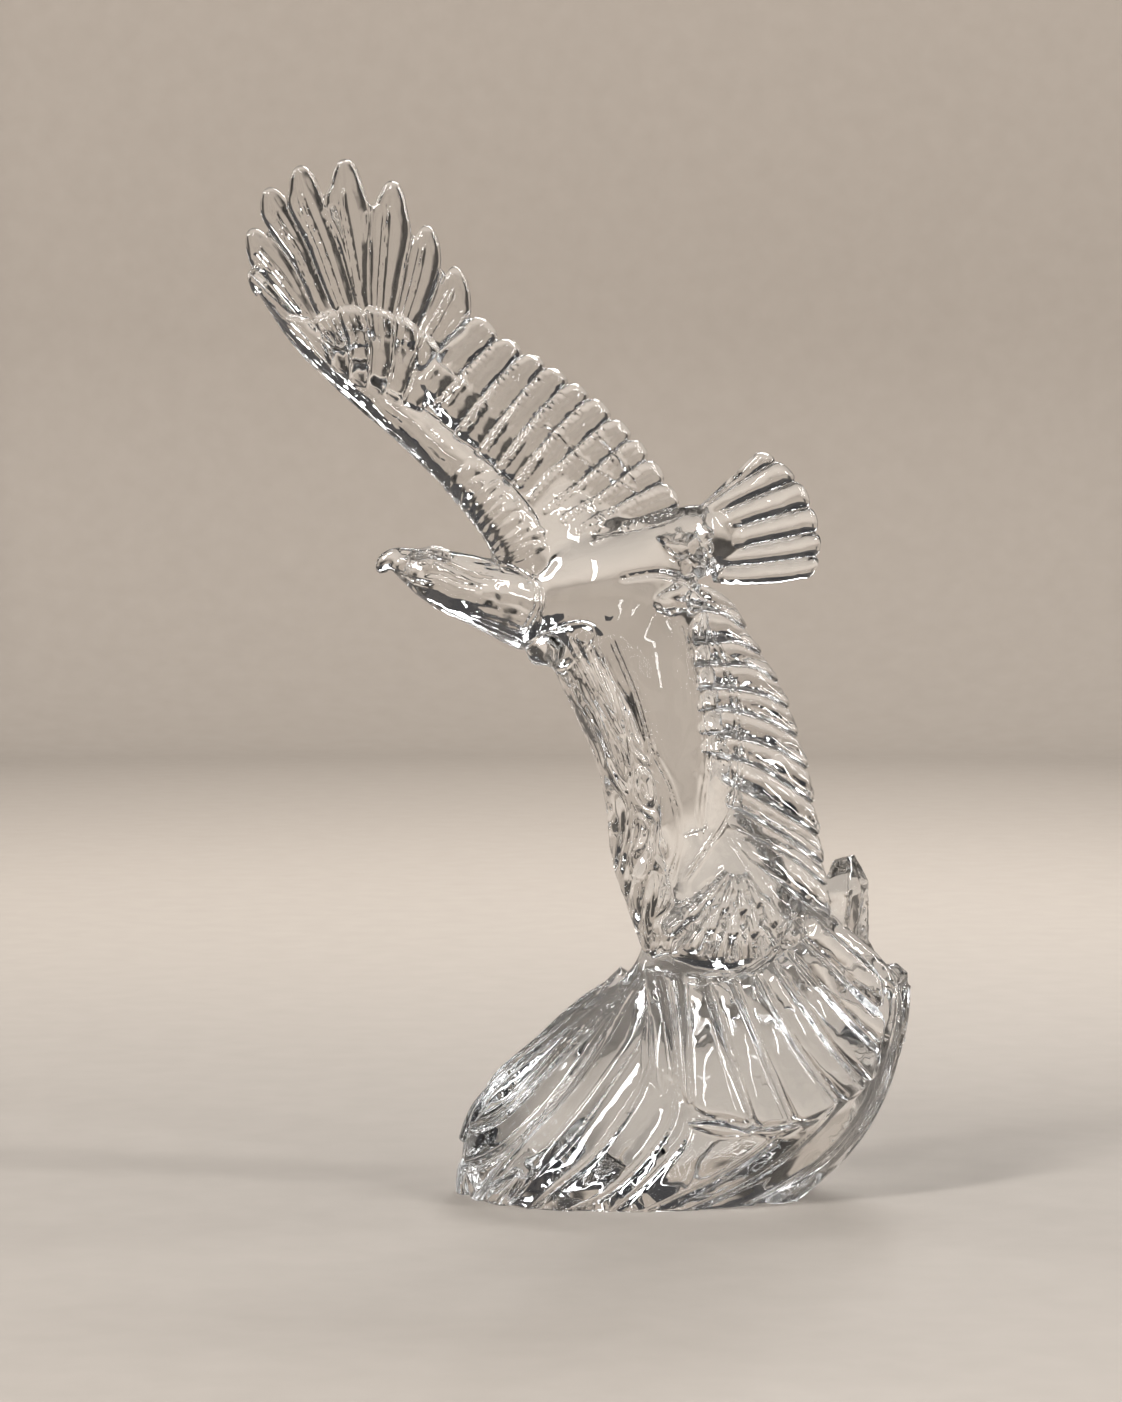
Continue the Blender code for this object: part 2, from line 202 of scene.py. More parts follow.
# Level slices of (height, left end, right end, depth in front, depth behind).
ROCK_SLICES = [
    (-3, -30, 53, 33, 33), (0, -33, 58, 34.5, 34), (6, -35.5, 70, 35.5, 35),
    (14, -35.5, 80, 35.5, 35.5), (25, -32.5, 88, 32.5, 34.5), (38, -23.5, 94, 27.5, 30.5),
    (50, -9, 98, 22, 24.5), (60, 5, 100, 16, 18.8), (70, 16, 96, 12, 13.4), (80, 20, 86, 10, 9),
    (90, 22, 72, 8, 6)]
ROCK_SQUARENESS = 2.3
ROCK_TABLE = along(ROCK_SLICES, np.linspace(0, 1, 400))

# Edges between neighbouring flutes in front, as (x, z) from the wing down to the foot.
FRONT_EDGES = {
    "a": [(12, 66), (2, 58.5), (-9, 49.5), (-20, 40.5), (-28.5, 32), (-34, 23)],
    "b": [(14.5, 63), (4, 54), (-8, 42.5), (-18.5, 31.5), (-26, 25), (-34, 21)],
    "c": [(18.5, 68), (13, 59), (5, 47.5), (-5, 34.5), (-15.5, 23), (-25.5, 14.5), (-35, 9.5)],
    "c2": [(19, 66), (12, 55.5), (4, 43), (-6, 30.5), (-15.5, 20.5), (-23.5, 10), (-31, -2)],
    "d": [(20, 62), (18.5, 51.5), (13, 43.5), (5.5, 32.5), (-2.5, 22.5), (-12, 12), (-25, -2)],
    "e": [(22, 45), (17.5, 34.5), (11, 25), (4, 16.5), (-4, 9.5), (-11, 3.5), (-17, -3)],
    "f": [(30, 38), (27.5, 27), (21, 17.5), (14, 10), (6, 4), (-3, 0), (-9, -3)],
    "h": [(34, 30), (31, 21.5), (25, 14.5), (18, 7.5), (11, 1), (6, -3)],
    "i": [(66, 27), (53, 17), (40, 9.5), (27, 3.5), (13, -3)],
    "j": [(81, 34), (70.5, 22.5), (57, 12.5), (43, 5), (27, -3)],
    "l": [(93, 52), (89, 33), (81, 20.5), (70, 11.5), (57, 4), (42, -3)],
    "m": [(99, 66), (96.5, 48), (90, 29), (79, 13.5), (66, 3.5), (56, -3)],
}
# (left edge, right edge, rise)
FRONT_FLUTES = [
    ("a", "b", 2.8), ("b", "c", 2.6), ("c", "c2", 3.4), ("d", "e", 2.6), ("e", "f", 2.4),
    ("f", "h", 1.4), ("h", "i", 2.6), ("i", "j", 2.4), ("j", "l", 2.4), ("l", "m", 3.0)]
# Edges between neighbouring flutes behind, as (x, z) from the wing down to the foot; a flute lies
# between each pair of neighbours.
BACK_EDGES = [
    [(10, 67), (-2, 58), (-15, 46), (-27, 35), (-35, 20), (-36, 2), (-36, -3)],
    [(16, 66), (9, 52), (-4, 39), (-17, 25), (-27, 12), (-33, -3)],
    [(24, 66), (20, 50), (10, 34), (-4, 18), (-17, -3)],
    [(34, 66), (32, 49), (24, 31), (11, 14), (-3, -3)],
    [(46, 67), (46, 49), (40, 31), (28, 13), (14, -3)],
    [(60, 68), (63, 50), (58, 32), (46, 13), (31, -3)],
    [(76, 66), (80, 49), (76, 31), (64, 13), (48, -3)],
    [(95, 62), (96, 48), (90, 30), (78, 12), (62, -3)]]
LEFT_FLUTES = [
    [(15, 1, 68), (6, 2, 57), (-7, 2, 47), (-21, 1, 36), (-31, 0, 25), (-35, 0, 15)],
    [(14, 6, 66), (4, 9, 56), (-8, 11, 45), (-21, 11, 34), (-30, 10, 23), (-33.5, 9, 12), (-33, 9, -2)],
    [(8, 0, 50), (-10, -2, 34), (-25, -3, 20), (-34.5, -3, 8), (-35, -2, -2)]]
RIM = [
    (99.6, 10, 63), (98.2, 6, 52), (94.5, 4, 39), (89, 0, 27), (80.5, -6, 16), (70.5, -13, 8),
    (57, -20, -1)]
# Shards behind the wing: foot, top, half width and half depth.
SHARDS = [
    ((81.8, 7, 48), (82.6, 9, 103.5), 8.4, 10.5), ((89, 16, 44), (89, 16, 77), 4.5, 6),
    ((94, 5, 44), (96, 7, 70), 7.5, 9), ((66, 20, 40), (66, 18, 86), 7, 7),
    ((45, 24, 34), (48, 21, 74), 7.5, 7)]


def rock_slice(z):
    """The rock's left end, right end, depth in front and depth behind, at those heights."""
    return (np.interp(z, ROCK_TABLE[:, 0], ROCK_TABLE[:, k]) for k in (1, 2, 3, 4))


def on_rock(x, z, side=-1):
    """The places on the rock's front (side -1) or back (side 1) with those x and z."""
    left, right, front, back = rock_slice(z)
    centre, half = (left + right) / 2, (right - left) / 2
    across = np.minimum(np.abs(x - centre) / half, 0.98)
    bulge = (1 - across ** ROCK_SQUARENESS) ** (1 / ROCK_SQUARENESS)
    return np.stack((x, np.where(side < 0, -front, back) * bulge, z), axis=-1)


def off_rock(x, z, side=-1):
    """The directions straight out of the rock there."""
    along_x = on_rock(x + 1.5, z, side) - on_rock(x - 1.5, z, side)
    along_z = on_rock(x, z + 1.5, side) - on_rock(x, z - 1.5, side)
    return unit(np.cross(along_x, along_z)) * -side


def rock_edge(places, side, lift):
    """A smooth line lifted off the rock, through the (x, z) places."""
    flat = along(places, np.linspace(0, 1, 30))
    return on_rock(flat[:, 0], flat[:, 1], side) + off_rock(flat[:, 0], flat[:, 1], side) * lift


def rock_panel(first, second, side, lift, *sizes, **shape):
    """A panel between two (x, z) edges on the rock, which faces straight out of it."""
    one, other = rock_edge(first, side, lift), rock_edge(second, side, lift)

    def out(t):
        middle = (along(one, t) + along(other, t)) / 2
        return off_rock(middle[:, 0], middle[:, 2], side)

    panel(one, other, *sizes, out=out, **shape)


def rock():
    z = np.concatenate((np.linspace(-3, 88, 60), (90,)))
    left, right, front, back = rock_slice(z)
    _, x, y = superellipse(160, ROCK_SQUARENESS)
    rings = np.zeros((len(z), len(x), 3))
    rings[..., 0] = ((left + right) / 2)[:, None] + ((right - left) / 2)[:, None] * x
    rings[..., 1] = np.where(y[None] < 0, front[:, None], back[:, None]) * y[None]
    rings[..., 2] = z[:, None]
    shells.append(rings)


def flutes():
    for first, second, rise in FRONT_FLUTES:
        rock_panel(FRONT_EDGES[first], FRONT_EDGES[second], -1, 0, rise, 5, 3, power=4.0, tilt=-0.7,
                   swell=0.01)
    for first, second in zip(BACK_EDGES, BACK_EDGES[1:]):
        rock_panel(first, second, 1, 0, 1.7, 5, 3, power=2.4, tilt=-0.3, swell=0.02)
    for spine in LEFT_FLUTES:
        plume(spine, 7, 12, 7, 3, face=(-1, 0, 0.4), power=2.5)
    plume(RIM, 6, 8, 9, 4, face=(0.5, -0.7, -0.2), power=2.6)
    # The small lobe at the foot of the trough between the third and the fourth flute.
    foot = on_rock(np.array((-18.0, -24, -29)), np.array((10.0, 4, -2)))
    plume(foot, 3, 9, 6, 4, face=(-0.3, -1, 0.2), power=2.2)


def shards():
    """Five-sided crystals, each with a small slanting top."""
    for foot, top, half_width, half_depth in SHARDS:
        foot, top = np.array(foot, float), np.array(top, float)
        rings = []
        for rise, share, deepness in ((0, 1.05, 0.85), (0.83, 0.95, 1.15), (1, 0.4, 0.3)):
            # The ridges in front and behind run up aslant, crosswise.
            corners = np.array(((1, 0.1), (0.6 - rise, 0.8), (-0.8, 0.6), (-1, -0.1),
                                (0.8 * rise - 0.6, -1)))
            wide = np.array((half_width, 0, 0.25 * half_width)) * share
            deep = np.array((0, half_depth, 0)) * deepness
            rings.append(foot + (top - foot) * rise + corners[:, :1] * wide + corners[:, 1:] * deep)
        shells.append(np.array(rings))


# ---- The lowered wing's primaries, spread over the rock ----

# Edges between neighbouring primaries, as (x, z) from the hand to the tip.
FAN_EDGES = [
    [(20.5, 70), (21, 62), (21.6, 50), (21.8, 39)], [(26, 69), (27.5, 60), (29, 47), (30, 36)],
    [(32, 69), (32.3, 60), (32.8, 45), (33.5, 29)], [(39, 68), (42.5, 57), (47.5, 42), (53, 24.5)],
    [(47, 68), (52, 56), (58.5, 41), (65, 25)], [(54, 70), (61, 57), (69.5, 44), (79.5, 31)],
    [(59.5, 73), (68.5, 60), (77.5, 47), (87.5, 36)], [(64, 77), (74, 65), (82.5, 56), (91, 47)],
    [(68, 81), (77.5, 72), (84.5, 64.5), (92.5, 57)], [(70, 88), (78, 81), (85, 75), (91.5, 69)]]
# How far the primaries stand out of the rock, and how far out their edges lie.
FAN_RISE, FAN_LIFT = 5.8, 1.4
# A small diamond between two primaries, and two slim leaves under the ends of the others: the
# (x, z) places along each, and its half width.
FACETS = [
    ([(24, 45), (24.6, 40), (25, 34.5)], 3.4), ([(33, 25.5), (42, 24.5), (51, 22.5)], 2.4),
    ([(51, 23.5), (58, 23.5), (66, 25)], 2.2)]


def fan():
    for k, (first, second) in enumerate(zip(FAN_EDGES, FAN_EDGES[1:])):
        rock_panel(first, second, -1, FAN_LIFT, FAN_RISE - FAN_LIFT, 6, 4.5 if k else 6, power=2.8,
                   tilt=1.3, crown=gable, swell=0.02)
    for places, widest in FACETS:
        x, z = np.array(places, float).T
        spine = on_rock(x, z) + off_rock(x, z) * 2.0
        mass(spine, [(0.4, 1.5), (widest, 3.4), (0.4, 1.5)], face=off_rock(x[1:2], z[1:2])[0], power=1.5,
             steps=30)


# ---- The bird ----

def hackles(t, angle):
    """Long narrow feathers down the neck, which start behind the face."""
    strength = smoothstep(0.34, 0.6, 1 - t)
    wave = np.cos(8 * angle + 0.9 * np.sin(6 * t) + 0.6)
    return strength * 0.5 * (np.abs(wave) ** 1.4 - 0.5)


def body():
    mass([(-14, 0, 184), (-5, 0, 185), (7, 0, 189), (19, 1, 195), (31, 1, 201), (41, 2, 203.5),
          (50, 3, 205)],
         [(11.6, 10.6), (15, 12.8), (16.5, 14), (14.5, 12.4), (12, 8.6), (10.5, 5), (9, 2.2)])
    # The chest and the back run on into the roots of both wings.
    mass([(2, 0, 196), (9, 0, 183), (17, 0, 168), (24, 0, 148), (27, 0, 132)],
         [(16, 13), (17, 12), (14, 10.8), (10.5, 9.6), (7, 7)], power=2.4)
    mass([(4, 0, 188), (-3, 0, 202), (-9, 0, 214), (-17, 0, 226)],
         [(17, 12), (14, 8.5), (11, 5), (8, 2.5)], power=2.4)
    # The rounded shoulder of the lowered wing.
    mass([(-16, -3, 168.5), (-7, -5, 170.5), (1, -6, 175)], [(4, 5), (6.5, 6.5), (4, 5)])


def head():
    # The hood of hackles, whose lower edge stands proud of the body as a collar.
    mass([(-11.5, 0, 180.2), (-12.5, 0, 180.6), (-14, 0, 181.2), (-22, 0, 184), (-30, 0, 186.5),
          (-41, 0, 190.3), (-48, 0, 192.8), (-54, 0, 195), (-57.5, 0, 196)],
         [(9.5, 8.5), (12.4, 11.4), (13.2, 12.2), (12.2, 11), (10.7, 9.8), (9.4, 8.8), (7.6, 7.6),
          (4.6, 4.8), (2.8, 3.2)], steps=80, corners=144, ripple=hackles)
    # The hooked beak and the lower jaw.
    mass([(-50, 0, 195.5), (-56, 0, 197), (-59.6, 0, 196.2), (-61.2, 0, 194.4), (-61, 0, 192.8)],
         [(4.6, 4.4), (3.7, 3.4), (3.1, 2.7), (2.3, 2.0), (1.2, 1.1)])
    for side in (-1, 1):
        brow = [(-40, side * 7.6, 198), (-46, side * 7.2, 199.2), (-52.5, side * 4.6, 198)]
        mass(brow, [(1.1, 1.3), (1.8, 2.2), (1, 1.2)], face=np.array((0.0, -side, 0.0)))


TAIL_EDGES = [
    [(33, 210), (45, 221), (54, 229.5)], [(35, 210.5), (47, 219.5), (60, 227)],
    [(37, 208.5), (50, 214.5), (66.5, 221)], [(38, 204.5), (52, 207.8), (70.8, 213)],
    [(39, 199.5), (54, 201.5), (72.8, 205.2)], [(40, 194.5), (56, 195.5), (73, 197.8)],
    [(41, 189.5), (56, 189), (70.5, 190.8)]]


def tail():
    for one, other in zip(TAIL_EDGES, TAIL_EDGES[1:]):
        flat_panel(one, other, 1.8, (1, 4, 5.5), 3.4, 3.2, 3.4, power=2.7, tilt=0.7, crown=gable)


LEGS = [((14, 6, 180), (30, 11.5, 184)), ((17, 6, 195), (32, 9.5, 201))]


def legs():
    """The feet, drawn up against the belly on the far side."""
    for hip, foot in LEGS:
        hip, foot = np.array(hip, float), np.array(foot, float)
        mass([hip, hip + (foot - hip) * 0.6 + (0, 2, 0), foot], [(5, 5), (4, 4), (2.4, 2.4)])
        for spread in (-0.5, 0, 0.5):
            # The closed toes.
            toe = foot + (1.5, 0.5, 3.4 * spread)
            mass([foot, toe + (2.5, 1.2, 2 * spread), toe + (5.0, -1.5, 2.5 * spread)],
                 [(1.5, 1.5), (1.3, 1.3), (0.6, 0.6)], corners=24, steps=16)


RAISED_ARM = [
    (-10, 0, 187), (-15.5, 0, 196.5), (-20.8, 0, 206.5), (-28.8, 0, 216.2), (-39, 1, 227),
    (-53, 3, 239), (-68.8, 5, 251.3), (-84.5, 7, 264.6), (-95, 8.5, 277), (-101, 9.5, 284)]
# Edges between neighbouring primaries, as (x, z) from the wrist to the notch between their tips,
# and each primary's tip as (x, depth, z). The first edge is the wing's leading edge.
PRIMARY_EDGES = [
    [(-79, 258), (-88, 265), (-97, 275.5), (-102.5, 283.5)],
    [(-76, 261), (-84.5, 269.5), (-94, 279.5), (-101.5, 287)],
    [(-74, 262), (-81, 272), (-88, 287), (-96, 298.5)],
    [(-71, 263), (-77, 275.5), (-84, 293), (-90, 305.5)],
    [(-67, 263), (-69.5, 276), (-74, 292), (-78.5, 306)],
    [(-63, 262), (-65, 274), (-65.2, 290), (-65, 304.5)],
    [(-58.5, 260), (-57.5, 271), (-55, 284), (-52.5, 297)],
    [(-54.5, 257), (-51, 267), (-46.5, 277), (-43.5, 286.5)],
    [(-51, 252), (-46, 258.5), (-40, 265), (-34.5, 271.5)]]
PRIMARY_TIPS = [
    (-102.9, 9, 286), (-102.2, 6, 299), (-96.5, 3, 311.5), (-86.5, 1, 318), (-72.5, 0, 320.0),
    (-58, 2, 313.5), (-47.5, 4, 300), (-39, 6, 287.5)]
# Edges between neighbouring secondaries, from the forearm to the notch between their ends.
SECONDARY_EDGES = [
    [(-52, 251), (-43.5, 261), (-34, 271.5)], [(-46, 243.5), (-36, 254.5), (-26, 264.5)],
    [(-39, 235), (-28, 249.5), (-18.5, 259.5)], [(-33, 228.5), (-22, 243), (-11.5, 255.5)],
    [(-27.5, 223), (-15, 239.5), (-4.5, 250.5)], [(-22, 218.5), (-9.5, 234.5), (2, 246)],
    [(-17, 214.5), (-4, 228.5), (8.8, 239.8)], [(-12, 211), (2, 222.5), (15, 233.5)],
    [(-7, 208), (7, 217.5), (20, 227.3)], [(-2, 205), (12, 213.5), (25, 220)],
    [(2, 201), (16, 208), (29.5, 212.5)]]


def finger(across, t):
    """A primary's face: a ridge left of its middle, cut by its shaft, and a few fine streaks."""
    ridge = 0.88 + 0.12 * (1 - np.abs(across + 0.28) / 1.28)
    streaks = 0.035 * np.cos(3.4 * pi * across + 5 * t + 1.4 * np.sin(9 * t)) * (1 - across ** 4)
    shaft = -0.13 * np.exp(-((across + 0.32 + 0.1 * np.sin(5 * t)) / 0.11) ** 2)
    shaft = shaft * (1 - smoothstep(0.7, 0.95, t))
    return ridge + (streaks + shaft) * smoothstep(0.02, 0.25, t)


def forearm(t, angle):
    """Short blunt feathers round the forearm's leading edge, and long thin ones along the hand."""
    round_edge = np.abs(angle - pi)
    place = 37 * t + 0.9 * np.sin(angle - pi) + 0.25 * np.sin(40 * t)
    nearest = 2 * np.abs(place - np.round(place))
    reach = 1.9 + 0.35 * np.sin(2.3 * np.round(place))
    past = np.maximum((round_edge - reach) / 0.35, 0)
    bars = np.sqrt(np.maximum(1 - np.minimum(nearest ** 2.6 + past ** 2, 1), 0))
    bars = bars * smoothstep(0.09, 0.16, t) * (1 - smoothstep(0.41, 0.45, t))
    lines = 5.5 * angle + 3 * t + 0.8 * np.sin(21 * t) + 0.4 * np.sin(47 * t + angle)
    threads = np.abs(np.cos(lines)) ** 0.6 * smoothstep(0.41, 0.47, t) * (1 - smoothstep(0.87, 1, t))
    front = 0.55 + 0.45 * smoothstep(-0.5, 0.3, np.sin(angle))
    return (0.85 * bars + 0.65 * threads * (1 - smoothstep(1.9, 2.4, round_edge))) * front


def raised_wing():
    mass(RAISED_ARM, [(9, 8), (10.3, 9), (9, 8.4), (8, 7.4), (7.4, 6.4), (6.4, 5.4), (5.4, 4.6),
                      (4, 3.6), (2.6, 2.8), (1.6, 1.8)], steps=260, corners=180, ripple=forearm)
    # The sheet that the quills come out of.
    mass([(8, 0, 188), (-3, 1, 203), (-16, 1, 218), (-32, 2, 233), (-50, 4, 248), (-66, 5, 261)],
         [(19, 9), (17, 5.5), (14, 2.8), (12, 2.3), (11, 2.2), (8, 2)], power=2.8)
    for k, tip in enumerate(PRIMARY_TIPS):
        tip = np.array(tip, float)
        pair = [deepen(edge, 4.5, tip[1]) for edge in PRIMARY_EDGES[k:k + 2]]
        ahead = unit(tip - (pair[0][-1] + pair[1][-1]) / 2)
        across = np.cross(ahead, VIEWER)
        blunt = [np.array([tip - ahead * 7 + across * s * 4.6, tip + across * s * 2.6]) for s in (-1, 1)]
        panel(np.concatenate((pair[0], blunt[0])), np.concatenate((pair[1], blunt[1])), 3.6, 3.2, 8,
              power=4.2, crown=finger, swell=0.02)
    for edge in PRIMARY_EDGES[1:]:
        # The membrane between two primaries.
        plume(deepen(edge, 4.5, 3.5), 5, 4, 2.4, 2, power=2.2)
    for k, (one, other) in enumerate(zip(SECONDARY_EDGES, SECONDARY_EDGES[1:])):
        depth = 7.5 - 0.15 * k
        flat_panel(one, other, 2.8, (-0.8, 1.2, depth), 3.7, 3.4, 5.5, power=2.9, tilt=1.0, crown=vane,
                   swell=0.02)
    # Primary coverts: blades from the wrist over the quills.
    tips = [(-93, 0, 272.5), (-83, 0, 271.5), (-75.5, 0, 275), (-67, 0, 275.5), (-57.5, 0, 273.5),
            (-50, 0, 269), (-43, 0, 262)]
    roots = [(-81, 0, 260), (-75, 0, 254), (-69, 0, 250), (-63, 0, 247), (-57, 0, 244), (-50, 0, 241)]
    count = 6
    for k in range(count):
        pair = []
        for j in (k, k + 1):
            root, tip = along(roots, j / count), along(tips, j / count)
            middle = (root + tip) / 2 + (1.6, 0, -0.6)
            pair.append(np.array((root + (0, 1, 0), middle + (0, 1.2, 0), tip + (0, 2.0, 0))))
        panel(pair[0], pair[1], 4.2, 3.6, 4, power=3.4, tilt=0.5)


LOWERED_ARM = [
    (-3, 0, 172), (4, 0, 159), (10, 0, 146), (14.5, 0, 133), (17, 0, 119), (19, 0, 104), (23.5, 0, 89),
    (28, 0, 76)]
# Edges between neighbouring secondaries of the lowered wing, from the middle of the wing out.
LOWERED_EDGES = [
    [(29, 190), (36, 189.5), (43, 187), (47.5, 183)], [(32, 181.5), (40, 181), (46, 179), (50, 176.3)],
    [(33, 171.5), (41, 171.5), (49, 171.3), (55, 168)],
    [(34, 164.5), (44.5, 164.5), (54.5, 163.3), (60.2, 159.5)],
    [(35, 157.5), (46.5, 157), (57, 154.8), (63.3, 151.5)],
    [(36, 151), (47.5, 150), (59, 146.5), (66, 142.5)],
    [(36.5, 144), (50, 141.5), (62, 137.5), (69.3, 132.5)],
    [(38, 138), (53, 133.5), (63.5, 127.5), (71, 122)],
    [(40, 131), (56, 122.5), (65.5, 116.8), (72.7, 112)],
    [(42, 123), (58, 114.5), (67, 109), (74, 103.5)], [(44, 116), (60, 107.5), (68, 102.5), (75, 96.5)],
    [(46, 109), (60, 98.5), (68.5, 91.5), (76, 86.5)], [(48, 101), (58, 92), (66, 84), (73, 78)]]
# The rounded end of the hand: level slices of (height, middle, half width, half depth).
HAND = [
    (70.5, 47, 15.5, 11), (76, 47, 21.5, 13.5), (86, 46, 20, 13), (100, 43, 16.5, 10.5),
    (114, 38, 11, 8)]
# Rows of petals fan out over the end of the hand, the lowest row first: how many there are, where
# they start, show and end from the middle of the fan, and the fan's first and last angle.
PETALS = [(6, 19, 24, 32.5, -52, 44), (5, 12, 17, 24.5, -50, 42), (4, 5, 8, 17, -48, 40)]
# How far a petal's start, middle and end stand out from the hand.
PETAL_LIFT = np.outer((0, 1.0, 2.2), (0, 1, 0))


def petal_edge(row, k, start):
    """The (x, z) places down the left edge of a row's petal."""
    angle = radians(row[4] + (row[5] - row[4]) * k / row[0])
    reach = np.linspace(start, row[3], 3)
    return np.stack((48 + reach * sin(angle), 105 - reach * cos(angle)), axis=-1)


def on_hand(x, z):
    """The places on the hand's front with those x and z."""
    heights, *others = zip(*HAND)
    middle, half, depth = (np.interp(z, heights, other) for other in others)
    across = np.minimum(np.abs(x - middle) / half, 0.97)
    return np.stack((x, -1 - depth * (1 - across ** 2.5) ** 0.4, z), axis=-1)


def scales(t, angle):
    """Long narrow feathers down the leading edge."""
    lines = 4.5 * angle + 5 * np.sin(5 * t) + 0.9 * np.sin(31 * t + angle) + 0.5 * np.sin(67 * t)
    return 0.15 * (np.abs(np.cos(lines)) - 0.5) * smoothstep(0.02, 0.1, t) * (1 - smoothstep(0.93, 1, t))


def lowered_wing():
    mass(LOWERED_ARM, [(9, 10), (9.5, 11), (9.5, 11), (9, 11), (9, 10.5), (9, 10), (8.5, 9.5),
                       (8.5, 9)], steps=220, corners=144, ripple=scales)
    mass([(20, 0, 190), (23, 0, 170), (27, 0, 150), (30, 0, 130), (34, 0, 112), (41, 0, 94),
          (45, 0, 76)],
         [(16, 12), (16, 11), (15, 9), (15, 7.8), (17, 7.6), (21, 8.2), (23, 9.8)], power=3)
    mass([(middle, -1, height) for height, middle, _, _ in HAND], [slab[2:] for slab in HAND], power=2.5)
    for one, other in zip(LOWERED_EDGES, LOWERED_EDGES[1:]):
        flat_panel(one, other, 2.6, (-5.6, -5, -3, 0.6), 4.8, 3.8, 4, power=2.6, tilt=-2.7, swell=0.02)
    for row in PETALS:
        for k in range(row[0]):
            one, other = (on_hand(*petal_edge(row, j, row[1]).T) - PETAL_LIFT for j in (k, k + 1))
            panel(one, other, 4.6, 3, 7, power=2.1, tilt=0.5, crown=gable, swell=-0.04)
    # A long leaf between the two ridges.
    flat_panel([(38.5, 106), (38.2, 118), (39.6, 131), (42.4, 148)],
               [(44, 104), (46.3, 118), (46.6, 132), (43.4, 148)], 0, (-6.4, -6.2), 3.4, 3, 8, power=2.2)


# ---- From shells to one cast ----

def new_object(name, data):
    made = bpy.data.objects.new(name, data)
    bpy.context.scene.collection.objects.link(made)
    return made


def mesh_object(name, points, faces):
    mesh = bpy.data.meshes.new(name)
    mesh.from_pydata(points.tolist(), [], faces)
    return new_object(name, mesh)


def between_rings(k):
    """The faces between rings, from the rings' point numbers."""
    n = np.roll(k, -1, axis=1)
    return np.stack((k[:-1], n[:-1], n[1:], k[1:]), axis=-1).reshape(-1, 4).tolist()


def shells_object(name):
    points, faces, base = [], [], 0
    for rings in shells:
        points.append(rings.reshape(-1, 3))
        k = base + np.arange(len(points[-1])).reshape(rings.shape[:2])
        faces += between_rings(k) + [k[0, ::-1].tolist(), k[-1].tolist()]
        base += k.size
    points = np.concatenate(points)
    # The figurine stands on a level underside.
    points[:, 2] = np.maximum(points[:, 2], 0)
    return mesh_object(name, points * UNIT, faces)


def apply_modifiers(made):
    graph = bpy.context.evaluated_depsgraph_get()
    mesh = bpy.data.meshes.new_from_object(made.evaluated_get(graph))
    made.modifiers.clear()
    old = made.data
    made.data = mesh
    bpy.data.meshes.remove(old)


def fuse(made):
    remesh = made.modifiers.new("fuse", "REMESH")
    remesh.mode = "VOXEL"
    remesh.voxel_size = VOXEL * UNIT
    apply_modifiers(made)


def neighbour_mean(values, one, other, degree):
    """The mean of each point's neighbours, along the edges from one to other."""
    total = [np.bincount(one, values[other, k], len(values))
             + np.bincount(other, values[one, k], len(values)) for k in range(3)]
    return np.stack(total, axis=-1) / degree[:, None]


